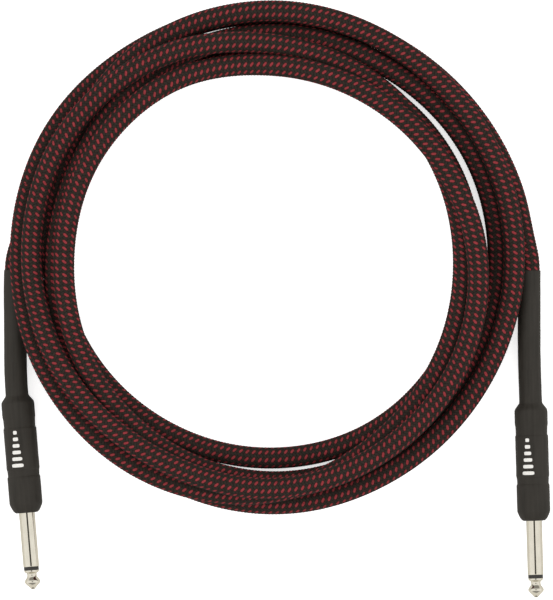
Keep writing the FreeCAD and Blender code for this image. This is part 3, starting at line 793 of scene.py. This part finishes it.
def make_bend_layers(side, path, materials):
    """The cable's layers inside the bend, each in a rear and a front half that meet where the sleeve's two
    pieces meet.
    """
    for name, (outer, inner, material) in LAYERS.items():
        halves = (
            ("rear", path.bend_start, path.bend_middle, bend_rear),
            ("front", path.bend_middle, CABLE_ENTRY, bend_front),
        )
        for half, start, end, follow in halves:
            if inner == 0:
                corners = [(start, 0.0), (start, outer), (end, outer), (end, 0.0)]
            else:
                corners = [(start, outer), (end, outer), (end, inner), (start, inner)]
            closed = inner > 0
            outline = spaced(corners, LAYER_STEP, closed)
            node = "%s_bend_%s" % (side, name)
            piece = sweep(node + "_" + half, path, outline, materials[material], segments=24, closed=closed)
            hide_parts(node)
            follow(piece, side, path)


# ------------------------------------------------------------------ plugs


def turned(side, name, path, corners, materials, material, closed=True):
    """A part of the plug that is round about its axis, in place of the CAD node of the same name."""
    node = "%s_%s" % (side, name)
    outline = spaced(rounded(corners), METAL_STEP, closed)
    piece = sweep(node + "_turned", path, outline, materials[material], segments=72, closed=closed)
    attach(piece, side + "_plug")
    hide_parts(node)


def make_barrel(side, path, materials):
    """The ground sleeve: a rear spigot for the washer and lug, a collar with a cone, and the barrel."""
    spigot, collar, cone_end = 4.0, 5.25, 3.95
    corners = (
        (BARREL_REAR, BARREL_BORE, 0.1),
        (BARREL_REAR, spigot, 0.15),
        (COLLAR_REAR, spigot, 0.1),
        (COLLAR_REAR, collar, 0.2),
        (COLLAR_FRONT, collar, 0.2),
        (COLLAR_NOSE, cone_end, 0.15),
        (COLLAR_NOSE, BARREL, 0.1),
        (BARREL_END, BARREL, 0.22),
        (BARREL_END, BARREL_BORE, 0.1),
    )
    turned(side, "plug_barrel", path, corners, materials, "nickel")


def make_ring(side, path, materials):
    corners = (
        (BARREL_END, RING_BORE, 0),
        (BARREL_END, RING_OUTSIDE, 0.1),
        (RING_END, RING_OUTSIDE, 0.1),
        (RING_END, RING_BORE, 0),
    )
    turned(side, "plug_ring", path, corners, materials, "insulator")


def make_tip(side, path, materials):
    """Plate, hollow neck, flare, cone and nose, with the long rod behind them."""
    rivet, rivet_height, plate = ROD + 0.5, 0.35, 2.95
    corners = (
        (ROD_REAR, 0.0, 0),
        (ROD_REAR, rivet, 0.2),
        (ROD_REAR + rivet_height, rivet, 0.05),
        (ROD_REAR + rivet_height, ROD, 0),
        (RING_END, ROD, 0),
        (RING_END, plate, 0.12),
        (RING_END + 0.72, plate, 0.2),
        (RING_END + 1.25, NECK + 0.05, 0.5),
        (RING_END + 1.9, NECK - 0.08, 0.4),
        (RING_END + 2.7, NECK, 0.6),
        (RING_END + 4.25, FLARE, 0.3),
        (RING_END + 5.0, FLARE, 0.3),
        (RING_END + 5.6, 2.72, 0.5),
        (TIP_END - 0.7, 1.2, 0.3),
        (TIP_END, 0.7, 0.4),
        (TIP_END, 0.0, 0),
    )
    turned(side, "plug_tip", path, corners, materials, "nickel", closed=False)


def make_mark(side, path, materials):
    """A printed row of bars on the grip, each longer than the last."""
    bars = 6
    first = 14.7
    pitch = 2.65
    shortest, longest = 1.6, 5.2
    points, faces = [], []
    for i in range(bars):
        width = shortest + (longest - shortest) * i / (bars - 1)
        bar_points, bar_faces = print_bar(path, first + pitch * i, width)
        faces += [[v + len(points) for v in face] for face in bar_faces]
        points += bar_points
    mesh = bpy.data.meshes.new(side + "_print")
    mesh.from_pydata([Vector(p) * MM for p in points], [], faces)
    mesh.materials.append(materials["print"])
    uv = mesh.uv_layers.new(name="surface")
    for loop in mesh.loops:
        place = mesh.vertices[loop.vertex_index].co / MM
        uv.data[loop.index].uv = (place.x, place.y)
    mesh.shade_smooth()
    piece = bpy.data.objects.new(side + "_print", mesh)
    bpy.context.scene.collection.objects.link(piece)
    weld(piece)
    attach(piece, side + "_plug")


def print_bar(path, along, width):
    """A thin rounded patch that follows the grip: rings from its middle to a rim just under the skin."""
    thickness, under_skin, length, lean = 0.03, -0.05, 1.5, -0.30
    squareness = 0.45
    rings = [(scale, thickness) for scale in (0.0, 0.2, 0.4, 0.6, 0.8, 0.93)] + [(1.0, under_skin)]
    corners = 32
    points, faces = [], []
    for scale, lift in rings:
        for k in range(corners):
            t = TURN * k / corners
            x = math.copysign(abs(math.cos(t)) ** squareness, math.cos(t)) * length / 2 * scale
            y = math.copysign(abs(math.sin(t)) ** squareness, math.sin(t)) * width / 2 * scale
            angle = TURN / 4 + lean + y / GRIP_OUTSIDE
            centre, sideways, up = (v[0] for v in path.frames(np.array([along + x])))
            skin = GRIP_OUTSIDE + float(shrink_wobble(along + x, angle))
            points.append(centre + (skin + lift) * (math.cos(angle) * sideways + math.sin(angle) * up))
    for ring in range(len(rings) - 1):
        for k in range(corners):
            n = (k + 1) % corners
            a, b = ring * corners, (ring + 1) * corners
            faces.append([a + k, b + k, b + n, a + n])
    faces.append([(len(rings) - 1) * corners + k for k in range(corners)][::-1])
    return points, faces


# ------------------------------------------------------------------ carried-over nodes


def finish_nodes(materials):
    """The CAD nodes that stay get the finish of their material slot."""
    for part in frame["record"]["subparts"]:
        obj = frame["nodes"][part["node"]]
        obj.data.materials.clear()
        obj.data.materials.append(materials[part["material_slot"] + "_node"])


def make_node_materials(materials):
    """The turned and shrunk finishes again, laid out on the object instead of a UV layer."""
    materials["sleeve_node"] = moulded("shrink_tube_inside", *SLEEVE_INSIDE_TONES, 0.55)
    materials["nickel_node"] = moulded("nickel_inside", *NICKEL_INSIDE_TONES, 0.15, metallic=1.0)
    materials["insulator_node"] = moulded("insulator_inside", *INSULATOR_TONES, 0.4)
    for name in ("woven_jacket", "pvc", "copper", "film", "insulation", "fibre", "steel", "solder"):
        materials[name + "_node"] = materials[name]


# ------------------------------------------------------------------ stage, light and camera


def floor_paper():
    """White paper that stays bright in the shade and looks duller in the metal than to the camera."""
    material, tree, shader = new_material("floor_paper", Roughness=0.9)
    shader.inputs["Specular IOR Level"].default_value = 0.1
    rays = new_node(tree, "ShaderNodeLightPath")
    fibres = noise(tree, "object", (0.5, 0.5, 0.5), detail=3.0)
    paper = colours(tree, fibres, (0.86, 0.86, 0.86), (0.88, 0.88, 0.88))
    reflected = colours(tree, rays.outputs["Is Glossy Ray"], paper, (0.66, 0.65, 0.62))
    tree.links.new(reflected, shader.inputs["Base Color"])
    tree.links.new(bump(tree, fibres, 0.01), shader.inputs["Normal"])
    shader.inputs["Emission Color"].default_value = (1, 1, 1, 1)
    glow = between(tree, rays.outputs["Is Camera Ray"], 0.0, 0.65)
    tree.links.new(glow, shader.inputs["Emission Strength"])
    return material


def make_floor():
    mesh = bpy.data.meshes.new("floor")
    half = 8.0
    corners = [(-half, -half, 0), (half, -half, 0), (half, half, 0), (-half, half, 0)]
    mesh.from_pydata(corners, [], [(0, 1, 2, 3)])
    mesh.materials.append(floor_paper())
    floor = bpy.data.objects.new("floor", mesh)
    bpy.context.scene.collection.objects.link(floor)


def make_softbox(name, x, power):
    """A long softbox beside the camera, aimed at the coil. The metal mirrors the studio instead of it."""
    place = Vector((x, 0.0, 1.25))
    data = bpy.data.lights.new(name, "AREA")
    data.shape = "RECTANGLE"
    data.size = 1.1
    data.size_y = 2.4
    data.energy = power
    data.color = (1.0, 0.985, 0.96)
    light = bpy.data.objects.new(name, data)
    light.location = place
    light.rotation_euler = place.to_track_quat("Z", "Y").to_euler()
    light.visible_camera = False
    light.visible_glossy = False
    bpy.context.scene.collection.objects.link(light)


def cosine(degrees):
    return math.cos(math.radians(degrees))


def make_world():
    """A white studio. The metal also sees a dark line overhead and two grey ends, which give it contrast."""
    world = bpy.data.worlds.new("studio")
    world.use_nodes = True
    tree = world.node_tree
    background = tree.nodes["Background"]
    direction = new_node(tree, "ShaderNodeTexCoord").outputs["Generated"]
    split = new_node(tree, "ShaderNodeSeparateXYZ")
    tree.links.new(direction, split.inputs["Vector"])
    overhead = new_node(tree, "ShaderNodeMapRange")
    overhead.inputs["From Min"].default_value = cosine(13)
    overhead.inputs["From Max"].default_value = cosine(10)
    tree.links.new(split.outputs["Z"], overhead.inputs["Value"])
    size = new_node(tree, "ShaderNodeMath", operation="ABSOLUTE")
    tree.links.new(split.outputs["Y"], size.inputs[0])
    ends = smooth_step(tree, size.outputs["Value"], cosine(50), cosine(30))
    walls = colours(tree, ends, (1.0, 0.99, 0.975), (0.30, 0.29, 0.28))
    reflected = colours(tree, overhead.outputs["Result"], walls, (0.06, 0.056, 0.05))
    rays = new_node(tree, "ShaderNodeLightPath")
    sky = colours(tree, rays.outputs["Is Camera Ray"], reflected, (1.15, 1.15, 1.15))
    tree.links.new(sky, background.inputs["Color"])
    background.inputs["Strength"].default_value = 0.9
    bpy.context.scene.world = world


def make_camera():
    """A long lens straight above the coil, as in a flat product shot."""
    frame_height = 0.2412
    distance = 4.0
    level = 0.01
    aim_x, aim_y = 0.0002, -0.0004
    data = bpy.data.cameras.new("camera")
    data.sensor_width = 36.0
    data.lens = data.sensor_width * distance / frame_height
    camera = bpy.data.objects.new("camera", data)
    camera.location = (aim_x, aim_y, distance + level)
    bpy.context.scene.collection.objects.link(camera)
    bpy.context.scene.camera = camera


def main():
    materials = make_materials()
    make_node_materials(materials)
    finish_nodes(materials)
    coil = coil_path()
    make_braid(coil, materials)
    for side in SIDES:
        path = side_path(side, coil)
        make_sleeve(side, path, materials)
        make_grip(side, path, materials)
        make_bend_layers(side, path, materials)
        make_barrel(side, path, materials)
        make_ring(side, path, materials)
        make_tip(side, path, materials)
        make_mark(side, path, materials)
    make_floor()
    make_softbox("softbox_left", -0.85, 7.5)
    make_softbox("softbox_right", 0.85, 7.5)
    make_world()
    make_camera()
    bpy.context.scene.view_settings.view_transform = "Standard"


main()
